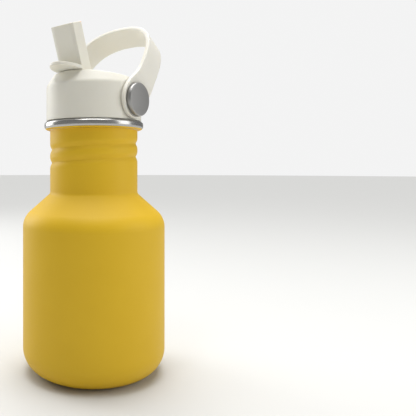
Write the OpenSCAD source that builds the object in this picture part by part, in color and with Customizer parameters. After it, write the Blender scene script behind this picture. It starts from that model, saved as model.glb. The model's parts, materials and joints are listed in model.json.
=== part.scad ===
// Kids water bottle: a single-wall steel bottle with a rolled thread in its neck, a screw lid
// with a flip-up spout and drinking straw, and a carry strap that swings on two studs.
// Millimetres. Origin at the centre of the base, +Z up, the spout leans towards -Y and the
// strap turns about an axis along X.

/* [Bottle] */
// Outside diameter of the body
body_d = 70; // [60:1:86]
// Height at which the straight wall ends and the shoulder begins
shoulder_z = 70.3; // [50:0.1:130]
// Radius of the round edge between wall and shoulder
shoulder_r = 10; // [5:0.5:12]
// Slope of the shoulder above level, in degrees
shoulder_slope = 41.5; // [35:0.5:50]
// Radius of the round bottom corner
base_corner_r = 11.9; // [6:0.1:13]
// Thickness of the steel sheet
steel_t = 0.6; // [0.5:0.1:1]
// How far the base plate is dished in
base_dish = 1.2; // [0.8:0.1:2.5]

/* [Neck] */
// Outside diameter of the neck
neck_d = 43.4; // [36:0.2:53]
// Height of the straight neck, from the shoulder to the rolled lip
neck_h = 30.3; // [28:0.1:40]
// Radius of the hollow corner between shoulder and neck
neck_corner_r = 2; // [1:0.5:4]
// Height of the rolled lip
lip_h = 3.9; // [3:0.1:5]
// How far the rolled lip stands out from the neck
lip_out = 2.8; // [2:0.1:3.5]

/* [Thread] */
// Pitch of the rolled thread
pitch = 6.5; // [5.5:0.1:8]
// Depth of the rolled groove
thread_depth = 0.95; // [0.6:0.05:1.2]
// Distance from the lip down to the top end of the groove
thread_drop = 4.8; // [4:0.1:8]

/* [Lid] */
// How far the lid's wall stands outside the neck
lid_over = 1.85; // [1.5:0.05:2.2]
// Height of the lid's upright wall
lid_wall_h = 17; // [15:0.5:24]
// Height of the sloping top above the lid's lower edge, at the centre
lid_top_h = 20.3; // [19.5:0.1:30]
// Slope of the top towards the back, in degrees
top_slope = 7.4; // [5:0.1:10]
// Slope of the bevel round the top, in degrees
bevel_slope = 57; // [45:1:65]
// Wall thickness of the lid moulding
lid_t = 2.2; // [1.8:0.1:2.8]
// Distance from the lid's front wall back to the spout pivot
spout_inset = 11.8; // [11:0.05:14]
// Lid left behind the end of the spout channel
channel_back = 7.4; // [5:0.1:9]

/* [Spout] */
// Width of the spout
spout_w = 14; // [11:0.1:16]
// Depth of the spout, front to back
spout_d = 6.6; // [6:0.1:8]
// Lean of the open spout towards the front, in degrees
spout_lean = 18.7; // [10:0.1:25]
// Radius of the drinking bore
spout_bore_r = 2.2; // [1.8:0.1:2.5]
// Width of the sloping band down each side of the spout's front face
spout_bevel = 1.9; // [0.5:0.1:2.5]
// How far that band falls back at the spout's corner
spout_bevel_d = 0.4; // [0.2:0.1:1]
// Length of the thumb tab, from the spout's front face
tab_l = 10.4; // [7:0.1:12]
// Half of the tab's width
tab_half_w = 8.3; // [7:0.1:10]
// Thickness of the tab
tab_t = 1.6; // [1.2:0.1:2]
// Upward tilt of the tab, in degrees
tab_tilt = 7; // [2:0.5:14]

/* [Strap] */
// Height of the strap's pivot above the lid's lower edge
strap_pivot_h = 9.2; // [9.2:0.1:14]
// How far the strap's pivot sits behind the bottle's axis
strap_back = 1.5; // [0:0.1:3]
// Depth of the flat seat that each strap end turns on, in the lid's side
strap_seat = 1; // [0.8:0.05:1.1]
// Thickness of the strap
strap_t = 2.1; // [1.8:0.1:3]
// Radius of the round strap ends
strap_end_r = 9; // [8.9:0.05:9.05]
// How far the round ends sit forward of the studs
strap_end_shift = 0.45; // [0:0.05:0.45]
// Width of the strap at the top of the loop
strap_w = 13.2; // [10:0.2:17]
// Gap between the open spout's tip and the strap as it swings over
strap_clear = 1.9; // [1.5:0.1:20]
// How far the strap leans back at rest, in degrees
strap_lean = 33; // [0:0.5:45]
// How far each leg bows outwards
strap_bow = 0.9; // [0.8:0.1:2]
// Radius of the steel buttons
button_r = 7.85; // [6.5:0.05:8]
// Thickness of the steel buttons
button_t = 2.6; // [1.4:0.05:3]

/* [Straw and small parts] */
// Outside radius of the straw
straw_r = 3.6; // [3.2:0.1:4]
// Wall thickness of the straw
straw_t = 0.9; // [0.7:0.1:1.2]
// Gap between the straw and the bottom of the bottle
straw_gap = 7; // [4:0.5:15]
// Radius of the two pins that the spout turns on
spout_pin_r = 1.25; // [0.9:0.05:1.5]
// Radius of the shank that the strap turns on
stud_r = 3; // [2.2:0.1:3.5]
// Thickness of the lid gasket
gasket_t = 1.6; // [1.2:0.1:2.4]

/* [Clearances] */
// Gap between pieces that move past each other
move_gap = 0.3; // [0.2:0.05:0.5]
// Radial gap of a pin that turns in its hole
pin_gap = 0.05; // [0.02:0.01:0.1]
// Gap at the screw thread, between its crest and the opposite root
thread_gap = 0.4; // [0.35:0.05:0.6]
// Gap between the strap and the lid, and between strap and button
strap_gap = 0.25; // [0.15:0.05:0.5]

/* [Hidden] */
$fn = 96;

// Colours
yellow_coat = "#deb342";
cream = "#dedbcb";
cream_soft = "#e6e3d6";
bare_steel = "#a3a3a0";
clear_pp = "#e9e9e4";

// Bottle
body_r = body_d / 2;
neck_r = neck_d / 2;
bore_r = neck_r - steel_t;
base_plate_r = body_r - base_corner_r - 0.7;
// End of the round shoulder edge, and the place of the hollow neck corner's centre
shoulder_end = [body_r - shoulder_r + shoulder_r * sin(shoulder_slope),
                shoulder_z + shoulder_r * cos(shoulder_slope)];
neck_corner_x = neck_r + neck_corner_r;
cone_run = (shoulder_end[0] + neck_corner_r * sin(shoulder_slope) - neck_corner_x)
           / cos(shoulder_slope);
neck_z = shoulder_end[1] + neck_corner_r * cos(shoulder_slope) + cone_run * sin(shoulder_slope);
lip_z = neck_z + neck_h;
lip_top = lip_z + lip_h;
lip_r = neck_r + lip_out;
lip_round = 1.5;

// Thread: the groove's centre line climbs one pitch a turn and fades at both ends
groove_top_angle = 500;
groove_turn = 750;
groove_half_w = 2.7;
groove_fade = 60;
thread_top_z = lip_z - thread_drop;
neck_band_low = thread_top_z - pitch * groove_turn / 360 - groove_half_w - 0.6;
neck_band_high = thread_top_z + groove_half_w + 0.4;
band_skin = 0.06;
band_lap = 0.3;

// Gasket and lid
gasket_in = bore_r - 0.7;
gasket_out = gasket_in + 1.6;
gasket_top = lip_top + gasket_t;
lid_z = lip_top + move_gap;
lid_r = neck_r + lid_over;
lid_in_r = lid_r - lid_t;
lid_edge_r = 3;
floor_t = 2.2;
plug_r = bore_r - thread_depth - thread_gap - 0.05;
plug_in_r = plug_r - 2;
plug_ridge_r = bore_r - thread_gap + 0.05;
plug_ridge_turn = 480;
plug_ridge_half_w = 1.2;
plug_low = thread_top_z - pitch / 2 - pitch * plug_ridge_turn / 360 - plug_ridge_half_w - 1;
plug_top = gasket_top + floor_t;

// Spout pivot: as deep below the sloping top as the folded spout needs to lie flush
flush_gap = 0.25;
pivot_y = -(lid_r - spout_inset);
pivot_z = lid_z + lid_top_h - pivot_y * tan(top_slope)
          - (spout_d / 2 + flush_gap) / cos(top_slope);
channel_w = spout_w + 2 * move_gap;
channel_l = (lid_r - channel_back - pivot_y) / cos(top_slope);
spout_l = channel_l - 0.6;
barrel_r = spout_d / 2 + 0.2;
barrel_pocket_r = barrel_r + move_gap;
channel_t = 1.8;
seat_r = 3.5;
entry_r = 2;
spout_pin_in = 3.6;
spout_pin_out = channel_w / 2 + channel_t;
nozzle_l = 10;
vent_y = 10;
// The tab springs from just outside the spout's front face, as high as clears the lid's top
tab_root = 0.6;
tab_from = spout_d / 2 + tab_root;
tab_lift = lid_z + lid_top_h - pivot_z + tab_from * sin(spout_lean)
           + (tab_from * cos(spout_lean) - pivot_y) * tan(top_slope)
           + move_gap + tab_t / 2 / cos(tab_tilt);
tab_height = tab_lift / (cos(spout_lean) - sin(spout_lean) * tan(top_slope));

// Strap: the loop's height follows from the open spout's tip
strap_z = lid_z + strap_pivot_h;
tip_y = pivot_y - spout_l * sin(spout_lean) - spout_d / 2 * cos(spout_lean);
tip_z = pivot_z + spout_l * cos(spout_lean) - spout_d / 2 * sin(spout_lean);
strap_inner_u = norm([tip_y - strap_back, tip_z - strap_z]) + strap_clear;
strap_mid_u = strap_inner_u + strap_t / 2;
strap_seat_x = lid_r - strap_seat;
strap_seat_r = strap_end_r + strap_end_shift + 3;
strap_in_x = strap_seat_x + strap_gap;
strap_mid_x = strap_in_x + strap_t / 2;
leg_u = 0.385 * strap_mid_u;
leg_shift = 0.4;
button_recess = 0.4;
button_in_x = strap_in_x + strap_t - button_recess + strap_gap / 2;
stud_head_r = 4.5;
stud_head_t = 1.5;
boss_r = 5.5;
boss_in_x = lid_in_r - 1.6;
spigot_r = 1.8;
spigot_l = 1.2;

// Points on an arc about (cx, cy), from angle a to angle b
function arc(cx, cy, r, a, b, n = 10) =
    [for (i = [0:n]) [cx + r * cos(a + (b - a) * i / n), cy + r * sin(a + (b - a) * i / n)]];

// The wall's outline from the base plate to the neck, drawn a distance t inside the outside
function wall_path(t) = concat(
    [[base_plate_r, t]],
    arc(body_r - base_corner_r, base_corner_r, base_corner_r - t, -90, 0),
    arc(body_r - shoulder_r, shoulder_z, shoulder_r - t, 0, 90 - shoulder_slope),
    arc(neck_corner_x, neck_z, neck_corner_r + t, 270 - shoulder_slope, 180, 6));

function reversed(v) = [for (i = [len(v) - 1:-1:0]) v[i]];

// A cubic curve with end points a and d, and handles b and c
function cubic(a, b, c, d, n) =
    [for (i = [0:n]) let (s = i / n, m = 1 - s)
        m * m * m * a + 3 * m * m * s * b + 3 * m * s * s * c + s * s * s * d];

// Height of the thread helix at an angle counted in degrees from the groove's lower end
function helix_z(angle) = thread_top_z - pitch * (groove_turn - angle) / 360;

// How deep the groove is at an angle and height: a V with a sharp root and round shoulders,
// taken from whichever turn of the helix lies nearest
function groove_shape(angle, z) =
    let (gap = abs(z - helix_z(angle)),
         fade = max(0, min(1, angle / groove_fade, (groove_turn - angle) / groove_fade)))
    gap < groove_half_w ? thread_depth * fade * (1 - sin(90 * gap / groove_half_w)) : 0;

function groove_depth(azimuth, z) =
    let (first = azimuth - (groove_top_angle - groove_turn))
    max([for (turn = [-1:3])
        let (angle = first + 360 * turn)
        angle > 0 && angle < groove_turn ? groove_shape(angle, z) : 0]);

// The band of neck that carries the rolled thread: the outside and the inside follow one groove.
// It is a hair thicker than the plain sheet, whose ends run into it.
module threaded_band(sides = 64, rows = 30) {
    function ring(row, r) = [for (i = [0:sides - 1])
        let (a = 360 * i / sides,
             z = neck_band_low + (neck_band_high - neck_band_low) * row / rows,
             edge = row == 0 || row == rows ? 0 : 1,
             q = r - edge * groove_depth(a, z))
        [q * cos(a), q * sin(a), z]];
    outside = [for (row = [0:rows]) each ring(row, neck_r + band_skin)];
    inside = [for (row = [0:rows]) each ring(row, bore_r - band_skin / 2)];
    shift = len(outside);
    function quad(a, b, c, d) = [[a, b, c], [a, c, d]];
    faces = [for (row = [0:rows - 1], i = [0:sides - 1])
        let (j = (i + 1) % sides,
             a = row * sides + i,
             b = row * sides + j)
        each concat(quad(a, a + sides, b + sides, b),
                    quad(shift + a, shift + b, shift + b + sides, shift + a + sides))];
    ends = [for (i = [0:sides - 1])
        let (j = (i + 1) % sides,
             top = rows * sides)
        each concat(quad(i, j, shift + j, shift + i),
                    quad(top + i, shift + top + i, shift + top + j, top + j))];
    polyhedron(points = concat(outside, inside), faces = concat(faces, ends));
}

// The plug's thread: one rounded ridge on the same helix, half a pitch below the groove
module plug_ridge(step = 7.5) {
    count = plug_ridge_turn / step;
    root_r = plug_r - 0.6;
    function station(k) =
        let (angle = groove_turn - plug_ridge_turn + k * step,
             a = groove_top_angle - groove_turn + angle,
             z = helix_z(angle) - pitch / 2,
             fade = min(1, (k + 0.4) / 6, (count - k + 0.4) / 6),
             tip = plug_r + (plug_ridge_r - plug_r) * fade,
             w = plug_ridge_half_w)
        [for (p = [[root_r, -w], [tip, -w / 3], [tip, w / 3], [root_r, w]])
            [p[0] * cos(a), p[0] * sin(a), z + p[1]]];
    points = [for (k = [0:count]) each station(k)];
    sides = [for (k = [0:count - 1], i = [0:3])
        let (j = (i + 1) % 4,
             a = 4 * k + i,
             b = 4 * k + j)
        each [[a, b + 4, a + 4], [a, b, b + 4]]];
    last = 4 * count;
    start_cap = [[0, 2, 1], [0, 3, 2]];
    end_cap = [[last, last + 1, last + 2], [last, last + 2, last + 3]];
    polyhedron(points = points, faces = concat(sides, start_cap, end_cap));
}

// A tube from z = low to z = high
module tube(r_out, r_in, low, high) {
    translate([0, 0, low])
        difference() {
            cylinder(r = r_out, h = high - low);
            translate([0, 0, -1]) cylinder(r = r_in, h = high - low + 2);
        }
}

// A cylinder along X between two places
module rod_x(r, from, to) {
    translate([min(from, to), 0, 0]) rotate([0, 90, 0]) cylinder(r = r, h = abs(to - from));
}

// Draws a YZ outline with its width along X
module across(width) {
    rotate([90, 0, 90]) linear_extrude(width, center = true) children();
}

// ---- Bottle ----

module bottle_shell() {
    // the lip is the sheet rolled outwards, hollow inside, with its edge just clear of the neck
    outer = concat([[neck_r, lip_z]],
                   arc(lip_r - lip_round, lip_z + lip_round, lip_round, -90, 0, 6),
                   arc(lip_r - lip_round / 2, lip_top - lip_round / 2, lip_round / 2, 0, 90, 4),
                   arc(bore_r + 0.6, lip_top - 0.6, 0.6, 90, 180, 4));
    low = neck_band_low + band_lap;
    high = neck_band_high - band_lap;
    color(yellow_coat) {
        rotate_extrude()
            polygon(concat(wall_path(0), [[neck_r, low], [bore_r, low]],
                           reversed(wall_path(steel_t))));
        threaded_band();
        rotate_extrude()
            difference() {
                polygon(concat([[bore_r, high], [neck_r, high]], outer));
                translate([neck_r, lip_z + steel_t])
                    square([lip_out - steel_t, lip_h - 2 * steel_t]);
            }
    }
}

module bottle_base() {
    flange = 3;
    slope = 2;
    r = base_plate_r;
    color(yellow_coat)
        rotate_extrude()
            polygon([[r, 0], [r, steel_t], [r - flange, steel_t],
                     [r - flange - slope, base_dish + steel_t], [0, base_dish + steel_t],
                     [0, base_dish], [r - flange - slope, base_dish], [r - flange, 0]]);
}

// ---- Lid ----

module lid_gasket() {
    bead = 0.3;
    color(clear_pp)
        rotate_extrude()
            polygon([[gasket_in, lip_top + bead], [gasket_in + bead, lip_top],
                     [gasket_out - bead, lip_top], [gasket_out, lip_top + bead],
                     [gasket_out, gasket_top], [gasket_in, gasket_top]]);
}

// The lid's outer form, or a form a distance t inside it: wall, bevel and sloping top
module lid_form(t) {
    corner_z = lid_z + lid_wall_h;
    bevel_h = lid_top_h - lid_wall_h + lid_r * tan(top_slope) + 4;
    c = [lid_r - lid_edge_r, corner_z - lid_edge_r * tan((90 - bevel_slope) / 2)];
    end = arc(c[0], c[1], lid_edge_r - t, 0, 90 - bevel_slope, 5);
    tip = end[5];
    intersection() {
        rotate_extrude()
            polygon(concat([[0, lid_z], [lid_r - t, lid_z]], end,
                           [[tip[0] - bevel_h / tan(bevel_slope), tip[1] + bevel_h],
                            [0, tip[1] + bevel_h]]));
        translate([0, 0, lid_z + lid_top_h - t])
            rotate([-top_slope, 0, 0])
                translate([-lid_r - 1, -lid_r - 1, -2 * lid_top_h])
                    cube([2 * lid_r + 2, 2 * lid_r + 2, 2 * lid_top_h]);
    }
}

// Side outline of all the space the spout sweeps from folded to open, a distance t larger
module spout_sweep(t) {
    half = spout_d / 2 + move_gap + t;
    up = 40;
    front = [-sin(spout_lean), cos(spout_lean)];
    back = [cos(top_slope), -sin(top_slope)];
    front_side = -half * [cos(spout_lean), sin(spout_lean)];
    back_side = -half * [sin(top_slope), cos(top_slope)];
    back_end = back_side + (channel_l + t) * back;
    translate([pivot_y, pivot_z]) {
        circle(r = barrel_pocket_r + t);
        polygon([front_side, front_side + up * front, back_end + up * [sin(top_slope), 1],
                 back_end, back_side, [0, 0]]);
    }
}

module lid_shell() {
    color(cream)
        difference() {
            union() {
                difference() {
                    lid_form(0);
                    lid_form(lid_t);
                }
                intersection() {
                    lid_form(0);
                    union() {
                        across(channel_w + 2 * channel_t) spout_sweep(channel_t);
                        translate([0, pivot_y, 0])
                            cylinder(r = seat_r + channel_t, h = pivot_z);
                    }
                    translate([0, 0, plug_top]) cylinder(r = lid_r, h = 2 * lid_top_h);
                }
                for (side = [-1, 1])
                    translate([0, strap_back, strap_z])
                        rod_x(boss_r, side * boss_in_x, side * (lid_in_r + 0.5));
            }
            // channel, valve pocket and the pins' holes
            across(channel_w) spout_sweep(0);
            translate([0, pivot_y, lid_z]) cylinder(r = seat_r, h = pivot_z - lid_z);
            translate([0, pivot_y, pivot_z])
                rod_x(spout_pin_r, -spout_pin_out - 1, spout_pin_out + 1);
            // holes for the strap's studs, and the round seats of its ends
            for (side = [-1, 1])
                translate([0, strap_back, strap_z]) {
                    rod_x(stud_r, side * (boss_in_x - 1), side * (lid_r + 1));
                    rod_x(strap_seat_r, side * strap_seat_x, side * (lid_r + 1));
                }
            // air hole in the channel's floor
            translate([0, vent_y, plug_top]) cylinder(r = 0.8, h = lid_top_h, $fn = 32);
            // rebate for the gasket, and the seat of the plug's flange
            translate([0, 0, lid_z - 1])
                cylinder(r = gasket_out + move_gap, h = gasket_top - lid_z + 1);
        }
}

module threaded_plug() {
    color(cream) {
        difference() {
            union() {
                rotate_extrude()
                    polygon([[plug_in_r, plug_low], [plug_r - 0.6, plug_low],
                             [plug_r, plug_low + 0.6], [plug_r, gasket_top],
                             [lid_in_r, gasket_top], [lid_in_r, plug_top], [0, plug_top],
                             [0, gasket_top], [plug_in_r, gasket_top]]);
                translate([0, pivot_y, gasket_top - nozzle_l])
                    cylinder(r = straw_r - straw_t, h = nozzle_l + 0.5);
            }
            translate([0, pivot_y, gasket_top - nozzle_l - 1])
                cylinder(r = entry_r - 0.3, h = nozzle_l + floor_t + 2);
            // vent valve stem and its two air holes
            translate([0, vent_y, gasket_top - 1])
                cylinder(r = 1.2, h = floor_t + 2, $fn = 32);
            for (side = [-1, 1])
                translate([side * 2.4, vent_y, gasket_top - 1])
                    cylinder(r = 0.6, h = floor_t + 2, $fn = 24);
        }
        plug_ridge();
    }
}

module valve_seat() {
    color(clear_pp)
        difference() {
            translate([0, pivot_y, plug_top]) cylinder(r = seat_r, h = pivot_z - plug_top);
            across(4 * seat_r) spout_sweep(0);
            translate([0, pivot_y, plug_top - 1]) cylinder(r = entry_r, h = pivot_z);
        }
}

module vent_valve() {
    cap_r = 3.3;
    cap_t = 0.8;
    bulb_h = 1.2;
    color(clear_pp)
        translate([0, vent_y, gasket_top])
            rotate_extrude($fn = 32)
                polygon([[0, -cap_t], [cap_r - 0.8, -cap_t], [cap_r, -0.3], [cap_r, 0], [1.2, 0],
                         [1.2, floor_t], [1.9, floor_t], [1.2, floor_t + bulb_h],
                         [0, floor_t + bulb_h]]);
}

module straw() {
    color(clear_pp)
        translate([0, pivot_y, 0])
            tube(straw_r, straw_r - straw_t, steel_t + base_dish + straw_gap, gasket_top - 1);
}

// ---- Spout ----

// Thumb tab outline: a long half-oval, its root at y = 0
module tab_outline() {
    polygon([for (i = [0:24])
        let (a = 180 + 180 * i / 24)
        [tab_half_w * cos(a), tab_l * sin(a)]]);
}

module spout() {
    half = spout_d / 2;
    side = spout_w / 2;
    b = spout_bevel;
    color(cream)
        translate([0, pivot_y, pivot_z])
            difference() {
                union() {
                    difference() {
                        across(spout_w) {
                            circle(r = barrel_r);
                            rotate(spout_lean) translate([-half, 0]) square([spout_d, spout_l]);
                        }
                        rotate([spout_lean, 0, 0])
                            for (s = [-1, 1])
                                translate([0, 0, barrel_r])
                                    linear_extrude(spout_l)
                                        polygon([[s * (side - b), -half],
                                                 [s * side, -half + spout_bevel_d],
                                                 [s * (side + 1), -half - 1]]);
                    }
                    rotate([spout_lean, 0, 0]) {
                        translate([0, -half - tab_root, tab_height])
                            rotate([-spout_lean - tab_tilt, 0, 0])
                                linear_extrude(tab_t, center = true) {
                                    tab_outline();
                                    translate([-side + b, 0]) square([spout_w - 2 * b, 1.6]);
                                }
                    }
                }
                // drinking bore, and the entry that meets the valve seat when open
                rotate([spout_lean, 0, 0])
                    translate([0, 0, -1]) cylinder(r = spout_bore_r, h = spout_l + 2);
                translate([0, 0, -barrel_r - 1]) cylinder(r = entry_r, h = barrel_r + 1);
                for (s = [-1, 1])
                    rod_x(spout_pin_r + pin_gap, s * (spout_pin_in - 0.2), s * (side + 1));
            }
}

module spout_pin(s) {
    color(bare_steel)
        translate([0, pivot_y, pivot_z]) rod_x(spout_pin_r, s * spout_pin_in, s * spout_pin_out);
}

module spout_pin_left() {
    spout_pin(-1);
}

module spout_pin_right() {
    spout_pin(1);
}

// ---- Strap ----

// Centre line of one leg and half of the crown: straight at the pivot, bowed out, then over
function strap_line() =
    let (x = strap_mid_x,
         out = strap_mid_x + strap_bow,
         top = strap_mid_u)
    concat([[x, -strap_end_r - 1]],
           cubic([x, 4], [x, 8.5], [out, 8.5], [out, 13.5], 6),
           cubic([out, leg_u], [out, leg_u + 0.56 * (top - leg_u)],
                 [0.83 * out, top], [0, top], 32));

// The same line moved sideways by d, along its own normals
function strap_edge(line, d) = [for (i = [0:len(line) - 1])
    let (a = line[max(0, i - 1)],
         b = line[min(len(line) - 1, i + 1)],
         run = i == len(line) - 1 ? [-1, 0] : (b - a) / norm(b - a))
    line[i] + d * [run[1], -run[0]]];

// One long edge of the strap's band: it narrows smoothly from the round end to the crown
function strap_side(s) = concat(
    [for (k = [1:11])
        let (blend = (1 + cos(180 * k / 11)) / 2)
        [s * (strap_w / 2 + (strap_end_r - strap_w / 2) * blend)
         + leg_shift * (1 - blend) - strap_end_shift * blend,
         leg_u * k / 11]],
    [[s * strap_w / 2 + leg_shift, 2 * strap_mid_u]]);

module strap() {
    line = strap_line();
    outer = strap_edge(line, strap_t / 2);
    inner = strap_edge(line, -strap_t / 2);
    color(cream_soft)
        translate([0, strap_back, strap_z])
            rotate([-strap_lean, 0, 0])
                difference() {
                    intersection() {
                        rotate([90, 0, 0])
                            linear_extrude(2 * strap_end_r + 2, center = true)
                                polygon(concat(outer, [for (p = reversed(outer)) [-p[0], p[1]]],
                                               [for (p = inner) [-p[0], p[1]]],
                                               reversed(inner)));
                        across(3 * lid_r)
                            polygon(concat(arc(-strap_end_shift, 0, strap_end_r, 180, 360, 24),
                                           strap_side(1), reversed(strap_side(-1))));
                    }
                    rod_x(stud_r + pin_gap, -2 * lid_r, 2 * lid_r);
                    for (s = [-1, 1])
                        rod_x(button_r + move_gap, s * (strap_in_x + strap_t - button_recess),
                              s * 2 * lid_r);
                }
}

module pivot_stud(s) {
    color(cream)
        translate([0, strap_back, strap_z]) {
            rod_x(stud_r, s * boss_in_x, s * button_in_x);
            rod_x(stud_head_r, s * (boss_in_x - stud_head_t), s * boss_in_x);
            rod_x(spigot_r, s * button_in_x, s * (button_in_x + spigot_l));
        }
}

module pivot_stud_left() {
    pivot_stud(-1);
}

module pivot_stud_right() {
    pivot_stud(1);
}

module button(s) {
    rim = 0.6;
    color(bare_steel)
        translate([0, strap_back, strap_z])
            rotate([0, s * 90, 0])
                translate([0, 0, button_in_x])
                    difference() {
                        rotate_extrude()
                            polygon([[0, 0], [button_r, 0], [button_r, button_t - rim],
                                     [button_r - rim, button_t], [0, button_t]]);
                        translate([0, 0, -1]) cylinder(r = spigot_r, h = spigot_l + 1);
                    }
}

module button_left() {
    button(-1);
}

module button_right() {
    button(1);
}

bottle_shell();
bottle_base();
lid_gasket();
lid_shell();
threaded_plug();
valve_seat();
vent_valve();
straw();
spout();
spout_pin_left();
spout_pin_right();
strap();
pivot_stud_left();
pivot_stud_right();
button_left();
button_right();
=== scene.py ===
"""Kids water bottle: the fine surfaces, finishes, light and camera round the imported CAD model.

Metres throughout. The bottle stands on Z = 0 at the origin, its spout leans towards -Y, and the
strap turns about an axis along X.
"""

import json
import math

import bmesh
import bpy
import numpy as np
from mathutils import Matrix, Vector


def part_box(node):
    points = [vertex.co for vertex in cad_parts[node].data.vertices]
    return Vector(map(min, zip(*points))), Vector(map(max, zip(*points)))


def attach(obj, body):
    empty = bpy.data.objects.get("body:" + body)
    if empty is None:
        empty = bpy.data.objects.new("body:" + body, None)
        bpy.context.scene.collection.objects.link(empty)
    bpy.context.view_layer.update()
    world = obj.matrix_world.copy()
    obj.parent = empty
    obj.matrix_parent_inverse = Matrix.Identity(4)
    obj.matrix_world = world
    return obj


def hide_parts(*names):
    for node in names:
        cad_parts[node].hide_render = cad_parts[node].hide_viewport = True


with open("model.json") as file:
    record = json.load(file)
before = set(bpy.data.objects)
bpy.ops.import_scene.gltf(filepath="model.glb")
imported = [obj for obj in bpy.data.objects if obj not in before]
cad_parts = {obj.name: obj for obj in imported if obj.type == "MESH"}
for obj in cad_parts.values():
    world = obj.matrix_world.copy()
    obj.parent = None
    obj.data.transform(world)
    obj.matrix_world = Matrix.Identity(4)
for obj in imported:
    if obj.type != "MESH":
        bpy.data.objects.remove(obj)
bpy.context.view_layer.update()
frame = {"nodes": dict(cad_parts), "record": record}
MM = 0.001

# ---- Sizes that the CAD model gives ----

shell_low, shell_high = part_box("bottle_shell")
joint_at = {j["name"]: j.get("pos_m") for j in frame["record"]["behaviour"]["joints"]}
BODY_R = float(shell_high.x)
LIP_TOP = float(shell_high.z)
SPOUT_PIVOT = joint_at["spout_flip"]
STRAP_PIVOT = joint_at["strap_swing"]

# The sheet's own sizes: wall, round edges, neck, lip and rolled thread, whose angles are degrees
SHEET = 0.6 * MM
WALL_TOP = 70.3 * MM
CORNER_R = 11.9 * MM
SHOULDER_R = 10 * MM
SHOULDER_SLOPE = math.radians(41.5)
PLATE_R = BODY_R - CORNER_R - 0.7 * MM
NECK_R = 21.7 * MM
NECK_CORNER_R = 2 * MM
LIP_H = 3.9 * MM
LIP_OUT = 2.8 * MM
LIP_ROUND = 1.6 * MM
LIP_TOP_ROUND = 1.3 * MM
MOUTH_ROUND = 0.7 * MM
PAINT = 0.08 * MM
NECK_H = 30.3 * MM
LIP_Z = LIP_TOP - LIP_H
NECK_Z = LIP_Z - NECK_H
PITCH = 6.5 * MM
GROOVE_DEPTH = 0.95 * MM
GROOVE_HALF = 2.7 * MM
GROOVE_ROOT = 0.16 * MM
GROOVE_START = 250
GROOVE_TURN = 750
GROOVE_FADE = 60
GROOVE_TOP = LIP_Z - 4.8 * MM
ROUND_STEPS = 256


# ---- Mesh making ----

def new_piece(name, points, faces, body, replaced=()):
    """A piece from its points and faces, smooth, riding on a body and standing for CAD nodes."""
    mesh = bpy.data.meshes.new(name)
    mesh.from_pydata(points.tolist(), [], faces.tolist())
    mesh.update()
    return dress_piece(name, mesh, body, replaced)


def dress_piece(name, mesh, body, replaced=()):
    """An object for a finished mesh, smooth, riding on a body and standing for CAD nodes."""
    mesh.polygons.foreach_set("use_smooth", np.ones(len(mesh.polygons), bool))
    mesh.name = name
    piece = bpy.data.objects.new(name, mesh)
    bpy.context.scene.collection.objects.link(piece)
    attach(piece, body)
    if replaced:
        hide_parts(*replaced)
    return piece


def closed_grid(rows, columns):
    """Quads of a grid that closes on itself both ways, its points numbered row by row."""
    row, column = np.meshgrid(np.arange(rows), np.arange(columns), indexing="ij")
    up, along = (row + 1) % rows, (column + 1) % columns
    corners = [row * columns + column, row * columns + along, up * columns + along,
               up * columns + column]
    return np.stack(corners, axis=-1).reshape(-1, 4)


def arc(centre, radius, start, end, steps):
    """Points (r, z) on a circle about centre, from one angle in degrees to another."""
    angle = np.radians(np.linspace(start, end, steps))
    return np.stack([centre[0] + radius * np.cos(angle), centre[1] + radius * np.sin(angle)], 1)


def line(start, end, steps):
    """Evenly spaced points (r, z) from start to end, without the end itself."""
    share = np.linspace(0, 1, steps, endpoint=False)[:, None]
    return np.array(start) * (1 - share) + np.array(end) * share


# ---- Bottle ----

def groove(azimuth, z):
    """Depth of the rolled groove: its centre line climbs one pitch a turn, and its section is a V
    with a narrow round root and broad round shoulders, d = depth (1 - sin(90 deg * gap / half)),
    which fades in and out over the first and last part of a turn."""
    depth = np.zeros_like(z)
    for turn in (-1, 0, 1, 2):
        along = azimuth + GROOVE_START + 360 * turn
        centre = GROOVE_TOP - PITCH * (GROOVE_TURN - along) / 360
        gap = np.sqrt((z - centre) ** 2 + GROOVE_ROOT ** 2)
        fade = np.clip(np.minimum(along, GROOVE_TURN - along) / GROOVE_FADE, 0, 1)
        fade = fade * fade * (3 - 2 * fade)
        shape = np.where(gap < GROOVE_HALF, 1 - np.sin(np.pi / 2 * gap / GROOVE_HALF), 0)
        depth = np.maximum(depth, GROOVE_DEPTH * fade * shape)
    return depth


def wall_line(inset, fine):
    """The bottle's wall from its base seam to the foot of the neck, a distance inset inside it:
    round bottom corner, straight wall, round shoulder, cone and hollow neck corner."""
    slope = math.degrees(SHOULDER_SLOPE)
    hollow = (NECK_R + NECK_CORNER_R, NECK_Z)
    return np.concatenate([
        line((PLATE_R, inset), (BODY_R - CORNER_R, inset), 2),
        arc((BODY_R - CORNER_R, CORNER_R), CORNER_R - inset, -90, 0, fine),
        line((BODY_R - inset, CORNER_R + 2 * MM), (BODY_R - inset, WALL_TOP), fine),
        arc((BODY_R - SHOULDER_R, WALL_TOP), SHOULDER_R - inset, 0, 90 - slope, fine),
        arc(hollow, NECK_CORNER_R + inset, 270 - slope, 180, 10)])


def turned(profile, name, body, replaced=()):
    """A closed profile turned about Z: each point is (r cos a, r sin a, z), and where it lies in
    the neck's sheet its radius is less by the depth of the rolled groove there."""
    angle = np.linspace(0, 360, ROUND_STEPS, endpoint=False)
    radius = np.repeat(profile[:, :1], ROUND_STEPS, 1)
    z = np.repeat(profile[:, 1:], ROUND_STEPS, 1)
    sheet = radius < NECK_R + 0.01 * MM
    radius = radius - np.where(sheet, groove(angle[None, :], z), 0)
    turn = np.radians(angle)[None, :]
    points = np.stack([radius * np.cos(turn), radius * np.sin(turn), z], -1).reshape(-1, 3)
    return new_piece(name, points, closed_grid(len(profile), ROUND_STEPS), body, replaced)


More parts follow.
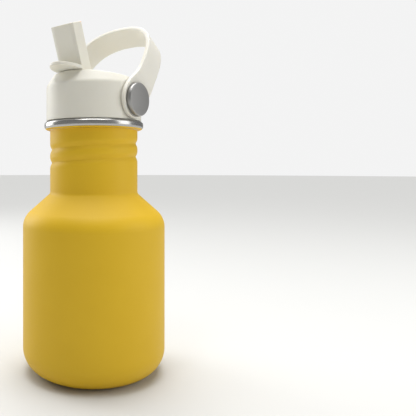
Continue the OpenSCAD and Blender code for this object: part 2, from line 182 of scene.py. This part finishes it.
def bottle_pieces():
    """The painted outside, one half of the sheet, and the bare steel inside with its rolled lip."""
    half = SHEET / 2
    lip_r = NECK_R + LIP_OUT
    roll = (lip_r - LIP_ROUND, LIP_Z + LIP_ROUND)
    outside = np.concatenate([
        wall_line(0, 26), line((NECK_R, NECK_Z + 0.4 * MM), (NECK_R, LIP_Z - 0.2 * MM), 110),
        arc((NECK_R + 0.25 * MM, LIP_Z - 0.25 * MM), 0.25 * MM, 180, 90, 4),
        line((NECK_R + 0.5 * MM, LIP_Z), (lip_r - LIP_ROUND - 0.1 * MM, LIP_Z), 4),
        arc(roll, LIP_ROUND, -90, -44, 6)])
    inside = np.concatenate([
        wall_line(half, 12),
        line((NECK_R - half, NECK_Z + 0.8 * MM), (NECK_R - half, LIP_Z + 0.3 * MM), 60),
        line((NECK_R, LIP_Z + PAINT), (lip_r - LIP_ROUND, LIP_Z + PAINT), 4),
        arc(roll, LIP_ROUND - PAINT, -90, -44, 5)])
    paint = turned(np.concatenate([outside, inside[::-1]]), "bottle_paint", "bottle",
                   ["bottle_shell"])
    bore = NECK_R - SHEET
    liner = np.concatenate([wall_line(SHEET, 16),
                            line((bore, NECK_Z + 0.8 * MM), (bore, LIP_TOP - 0.8 * MM), 70)])
    lip = np.concatenate([
        arc((bore + MOUTH_ROUND, LIP_TOP - MOUTH_ROUND), MOUTH_ROUND, 180, 90, 8),
        arc((lip_r - LIP_TOP_ROUND, LIP_TOP - LIP_TOP_ROUND), LIP_TOP_ROUND, 90, 0, 12),
        arc(roll, LIP_ROUND, 0, -42, 6),
        arc(roll, LIP_ROUND - PAINT, -46, -90, 5),
        line((lip_r - LIP_ROUND - 0.1 * MM, LIP_Z + PAINT),
             (NECK_R - 0.02 * MM, LIP_Z + PAINT), 4)])
    back = np.concatenate([wall_line(half, 12),
                           line((NECK_R - half, NECK_Z + 0.8 * MM), (NECK_R - half, LIP_Z), 60)])
    steel = turned(np.concatenate([liner, lip, back[::-1]])[::-1], "bottle_liner", "bottle")
    return paint, steel


# ---- Moulded pieces ----

def rounded(node, name, body, voxel, passes):
    """A CAD node's own form with its edges rounded as a mould rounds them: a merged copy is laid
    over with even quads of the given size in millimetres, then relaxed a number of times. The
    work is done in millimetres, so that the quads' size is a plain number."""
    mesh = frame["nodes"][node].data.copy()
    mesh.transform(Matrix.Scale(1 / MM, 4))
    merged = bmesh.new()
    merged.from_mesh(mesh)
    bmesh.ops.remove_doubles(merged, verts=merged.verts, dist=0.001)
    merged.to_mesh(mesh)
    merged.free()
    mesh.materials.clear()
    worker = bpy.data.objects.new("worker", mesh)
    bpy.context.scene.collection.objects.link(worker)
    remesh = worker.modifiers.new("even", "REMESH")
    remesh.mode = "VOXEL"
    remesh.voxel_size = voxel
    remesh.use_smooth_shade = True
    relax = worker.modifiers.new("relax", "SMOOTH")
    relax.factor = 0.5
    relax.iterations = passes
    view = bpy.context.evaluated_depsgraph_get()
    final = bpy.data.meshes.new_from_object(worker.evaluated_get(view))
    bpy.data.objects.remove(worker)
    points = np.zeros(len(final.vertices) * 3)
    final.vertices.foreach_get("co", points)
    final.vertices.foreach_set("co", points * MM)
    final.update()
    return dress_piece(name, final, body, [node])


def button_piece(side, name, node):
    """A pressed steel disc turned about the strap's axis: a spun face with a faint dome, a
    narrow bright chamfer and an upright edge; point = (x, r cos a, r sin a) from its centre."""
    low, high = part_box(node)
    inner, outer = (low.x, high.x) if side > 0 else (high.x, low.x)
    thick = abs(outer - inner)
    r = (high.z - low.z) / 2
    chamfer = 0.42 * MM
    dome_h = 0.12 * MM
    pole_r = 0.02 * MM
    face = r - chamfer
    r_face = np.linspace(pole_r, face - 0.1 * MM, 26)
    dome = dome_h * (1 - (r_face / face) ** 2)
    profile = np.concatenate([
        np.stack([r_face, thick - dome_h + dome], 1),
        [[face - 0.03 * MM, thick - dome_h], [face + 0.04 * MM, thick - dome_h - 0.04 * MM],
         [r - 0.05 * MM, thick - 0.48 * MM], [r, thick - 0.56 * MM],
         [r, 0.3 * MM], [r - 0.1 * MM, 0.08 * MM], [r - 0.3 * MM, 0]],
        np.stack([np.linspace(r - 1 * MM, pole_r, 8), np.zeros(8)], 1)])
    steps = 96
    turn = np.radians(np.linspace(0, 360, steps, endpoint=False))[None, :]
    radius, height = profile[:, :1], np.repeat(profile[:, 1:], steps, 1)
    points = np.stack([inner + side * height, STRAP_PIVOT[1] + radius * np.cos(turn),
                       STRAP_PIVOT[2] + radius * np.sin(turn)], -1).reshape(-1, 3)
    faces = closed_grid(len(profile), steps)
    return new_piece(name, points, faces if side < 0 else faces[:, ::-1], "lid", [node])


# ---- Materials ----

def linear(code):
    """An sRGB hex colour as linear red, green, blue and full alpha."""
    parts = [int(code[i:i + 2], 16) / 255 for i in (1, 3, 5)]
    return [p / 12.92 if p <= 0.04045 else ((p + 0.055) / 1.055) ** 2.4 for p in parts] + [1]


def add(tree, kind, settings=None, **inputs):
    """Adds a node: settings are its own properties, and inputs are its sockets' values or links,
    by the socket's name, or by i and its number where names repeat."""
    node = tree.nodes.new(kind)
    for key, value in (settings or {}).items():
        setattr(node, key, value)
    for key, value in inputs.items():
        numbered = key[0] == "i" and key[1:].isdigit()
        socket = node.inputs[int(key[1:]) if numbered else key.replace("_", " ")]
        if isinstance(value, bpy.types.NodeSocket):
            tree.links.new(value, socket)
        else:
            socket.default_value = value
    return node


def blank_material(name):
    """An empty node material and its tree."""
    material = bpy.data.materials.new(name)
    material.use_nodes = True
    material.node_tree.nodes.clear()
    return material, material.node_tree


def finish_surface(tree, shader):
    """Joins the shader to the material's output."""
    tree.links.new(shader.outputs[0], add(tree, "ShaderNodeOutputMaterial").inputs["Surface"])


def moulded(name, deep, pale, grain_mm, bump, roughness, sheen=0.5, depth_mm=0.0):
    """A moulded or coated surface: cloudy colour between two close tones, a fine grain that
    lifts the surface and varies its gloss."""
    material, tree = blank_material(name)
    place = add(tree, "ShaderNodeTexCoord").outputs["Object"]
    cloud = add(tree, "ShaderNodeTexNoise", Vector=place, Scale=1 / (14 * MM), Detail=3.0)
    grain = add(tree, "ShaderNodeTexNoise", Vector=place, Scale=1 / (grain_mm * MM), Detail=2.0,
                Roughness=0.6)
    tone = add(tree, "ShaderNodeMix", {"data_type": "RGBA"}, i0=cloud.outputs["Fac"],
               i6=linear(deep), i7=linear(pale))
    gloss = add(tree, "ShaderNodeMapRange", Value=grain.outputs["Fac"], From_Min=0.3,
                From_Max=0.7, To_Min=roughness - 0.04, To_Max=roughness + 0.05)
    lift = add(tree, "ShaderNodeBump", Height=grain.outputs["Fac"], Strength=bump,
               Distance=0.1 * MM)
    shader = add(tree, "ShaderNodeBsdfPrincipled", Base_Color=tone.outputs[2],
                 Roughness=gloss.outputs[0], Normal=lift.outputs[0], IOR=1.49)
    shader.inputs["Specular IOR Level"].default_value = sheen
    if depth_mm:
        shader.inputs["Subsurface Weight"].default_value = 0.25
        shader.inputs["Subsurface Radius"].default_value = (1.0, 0.9, 0.7)
        shader.inputs["Subsurface Scale"].default_value = depth_mm * MM
    finish_surface(tree, shader)
    return material


def spun_steel(name, centre, ring_mm, roughness, tint, along):
    """Turned or polished stainless steel: fine rings about an axis through centre along X or Z,
    which spread its highlights and vary its gloss."""
    material, tree = blank_material(name)
    place = add(tree, "ShaderNodeTexCoord").outputs["Object"]
    centred = add(tree, "ShaderNodeVectorMath", {"operation": "SUBTRACT"}, i0=place,
                  i1=centre).outputs[0]
    apart = add(tree, "ShaderNodeSeparateXYZ", Vector=centred)
    flat = add(tree, "ShaderNodeCombineXYZ",
               X=apart.outputs["Y" if along == "X" else "X"],
               Y=apart.outputs["Z" if along == "X" else "Y"])
    reach = add(tree, "ShaderNodeVectorMath", {"operation": "LENGTH"}, i0=flat.outputs[0])
    rings = add(tree, "ShaderNodeCombineXYZ", X=reach.outputs["Value"],
                Y=apart.outputs["X" if along == "X" else "Z"])
    turned_marks = add(tree, "ShaderNodeTexNoise", Vector=rings.outputs[0],
                       Scale=1 / (ring_mm * MM), Detail=2.0)
    gloss = add(tree, "ShaderNodeMapRange", Value=turned_marks.outputs["Fac"], From_Min=0.3,
                From_Max=0.7, To_Min=roughness - 0.03, To_Max=roughness + 0.03)
    lift = add(tree, "ShaderNodeBump", Height=turned_marks.outputs["Fac"], Strength=0.06,
               Distance=0.01 * MM)
    shader = add(tree, "ShaderNodeBsdfPrincipled", Base_Color=linear(tint), Metallic=1.0,
                 Roughness=gloss.outputs[0], Normal=lift.outputs[0])
    finish_surface(tree, shader)
    return material


# Powder coat: a satin skin with fine pinhead grain; the real grain is about 0.2 mm and is drawn
# three times as coarse so that it shows
powder_coat = moulded("yellow_powder_coat", "#d8af1c", "#dcb422", 0.6, 0.35, 0.52, sheen=0.32)
# Moulded polypropylene: matt from a lightly sparked mould, slightly see-through at thin edges
lid_plastic = moulded("cream_moulded_polypropylene", "#dcd9cd", "#e1ded2", 0.5, 0.2, 0.48,
                      depth_mm=0.8)
strap_plastic = moulded("cream_soft_polypropylene", "#e0ddd2", "#e5e2d8", 0.5, 0.15, 0.44,
                        depth_mm=0.8)
# Silicone: milky, with a soft sheen
silicone = moulded("white_silicone_rubber", "#e4e3de", "#eae9e5", 0.8, 0.08, 0.38, depth_mm=1.5)
# Extruded natural polypropylene tube: cloudy white, glossier than the mouldings
straw_plastic = moulded("natural_extruded_polypropylene", "#e3e3de", "#e9e9e5", 1.2, 0.05, 0.3,
                        depth_mm=1.5)
# Spun stainless steel of the button faces: even grey with a soft gleam; the real rings are finer
# and are drawn 0.35 mm apart so that they show
button_steel = spun_steel("spun_stainless_steel", STRAP_PIVOT, 0.35, 0.40, "#a09f9d", "X")
# Polished stainless steel of the rolled lip and the inside of the bottle: darker, with sharper
# highlights
lip_steel = spun_steel("rolled_stainless_steel", (0, 0, 0), 0.5, 0.26, "#b0afac", "Z")
# Drawn stainless steel of the spout's pins
pin_steel = spun_steel("drawn_stainless_steel", SPOUT_PIVOT, 0.3, 0.3, "#b4b3b0", "X")


# ---- Pieces ----

bottle_paint, bottle_liner = bottle_pieces()
lid_cover = rounded("lid_shell", "lid_cover", "lid", 0.36, 5)
flip_spout = rounded("spout", "flip_spout", "spout", 0.2, 5)
carry_strap = rounded("strap", "carry_strap", "strap", 0.26, 16)
right_button = button_piece(1, "disc_right", "button_right")
left_button = button_piece(-1, "disc_left", "button_left")

finishes = {bottle_paint: powder_coat, bottle_liner: lip_steel, lid_cover: lid_plastic,
            flip_spout: lid_plastic, carry_strap: strap_plastic, right_button: button_steel,
            left_button: button_steel}
for node, material in {"bottle_base": powder_coat, "lid_gasket": silicone,
                       "threaded_plug": lid_plastic, "valve_seat": silicone,
                       "vent_valve": silicone, "straw": straw_plastic,
                       "spout_pin_left": pin_steel, "spout_pin_right": pin_steel,
                       "pivot_stud_left": lid_plastic,
                       "pivot_stud_right": lid_plastic}.items():
    finishes[frame["nodes"][node]] = material
for piece, material in finishes.items():
    piece.data.materials.clear()
    piece.data.materials.append(material)


# ---- Studio ----

BACKDROP = 0.9
ROOM_LIGHT = 0.27
CAMERA_AZIMUTH = 40
CAMERA_REACH = 249.55 * MM
CAMERA_HEIGHT = 99.57 * MM


def around(azimuth, reach, height):
    """A place at an azimuth from the front (-Y) towards +X, a distance from the Z axis."""
    a = math.radians(azimuth)
    return (math.sin(a) * reach, -math.cos(a) * reach, height)


def soft_box(name, azimuth, reach, height, wide, tall, power, aim=0.09):
    """A rectangular soft light, out of the camera's sight, that faces the bottle's axis at height
    aim."""
    data = bpy.data.lights.new(name, "AREA")
    data.shape = "RECTANGLE"
    data.size = wide
    data.size_y = tall
    data.energy = power
    lamp = bpy.data.objects.new(name, data)
    lamp.location = around(azimuth, reach, height)
    away = lamp.location.copy()
    away.z -= aim
    lamp.rotation_euler = away.to_track_quat("Z", "Y").to_euler()
    lamp.visible_camera = False
    bpy.context.scene.collection.objects.link(lamp)
    return lamp


def pale_floor():
    """A wide round floor of pale matt card, a hair below the bottle's foot: its rim's points are
    (r cos a, r sin a, -gap)."""
    steps = 64
    reach = 6
    gap = 0.02 * MM
    turn = np.radians(np.linspace(0, 360, steps, endpoint=False))
    rim = np.stack([reach * np.cos(turn), reach * np.sin(turn), np.full(steps, -gap)], 1)
    mesh = bpy.data.meshes.new("floor")
    mesh.from_pydata(rim.tolist(), [], [list(range(steps))])
    floor = bpy.data.objects.new("floor", mesh)
    bpy.context.scene.collection.objects.link(floor)
    material, tree = blank_material("pale_matt_card")
    finish_surface(tree, add(tree, "ShaderNodeBsdfPrincipled", Base_Color=linear("#cbcbc9"),
                             Roughness=0.9))
    mesh.materials.append(material)


def studio():
    """White surroundings, a soft box at each side and one above, two small lamps in front, a
    wide overhead light, and the camera."""
    bpy.context.scene.view_settings.view_transform = "Standard"
    world = bpy.data.worlds.new("studio")
    bpy.context.scene.world = world
    world.use_nodes = True
    tree = world.node_tree
    direct = add(tree, "ShaderNodeLightPath").outputs["Is Camera Ray"]
    strength = add(tree, "ShaderNodeMapRange", Value=direct, To_Min=ROOM_LIGHT, To_Max=BACKDROP)
    tree.links.new(strength.outputs[0], tree.nodes["Background"].inputs["Strength"])
    tree.nodes["Background"].inputs["Color"].default_value = linear("#ffffff")
    soft_box("left_box", -84, 0.7, 0.34, 0.40, 0.5, 2.55)
    soft_box("right_box", 113, 0.7, 0.34, 0.40, 0.5, 1.7)
    soft_box("left_lamp", 6, 0.30, 0.66, 0.09, 0.09, 0.34, 0.12)
    soft_box("right_lamp", 74, 0.30, 0.66, 0.09, 0.09, 0.36, 0.12)
    soft_box("top_box", 20, 0.06, 0.48, 0.22, 0.22, 0.45, 0.1)
    sky = bpy.data.lights.new("sky", "SUN")
    sky.energy = 2.9
    sky.angle = math.radians(50)
    overhead = bpy.data.objects.new("sky", sky)
    overhead.rotation_euler = (math.radians(-14), math.radians(-10), 0)
    bpy.context.scene.collection.objects.link(overhead)
    data = bpy.data.cameras.new("camera")
    data.sensor_width = 36
    data.lens = 43.27
    data.shift_x = 0.2745
    data.shift_y = -0.0986
    data.clip_start = 0.01
    data.clip_end = 50
    camera = bpy.data.objects.new("camera", data)
    camera.location = around(CAMERA_AZIMUTH, CAMERA_REACH, CAMERA_HEIGHT)
    camera.rotation_euler = (math.pi / 2, 0, math.radians(CAMERA_AZIMUTH))
    bpy.context.scene.collection.objects.link(camera)
    bpy.context.scene.camera = camera


pale_floor()
studio()
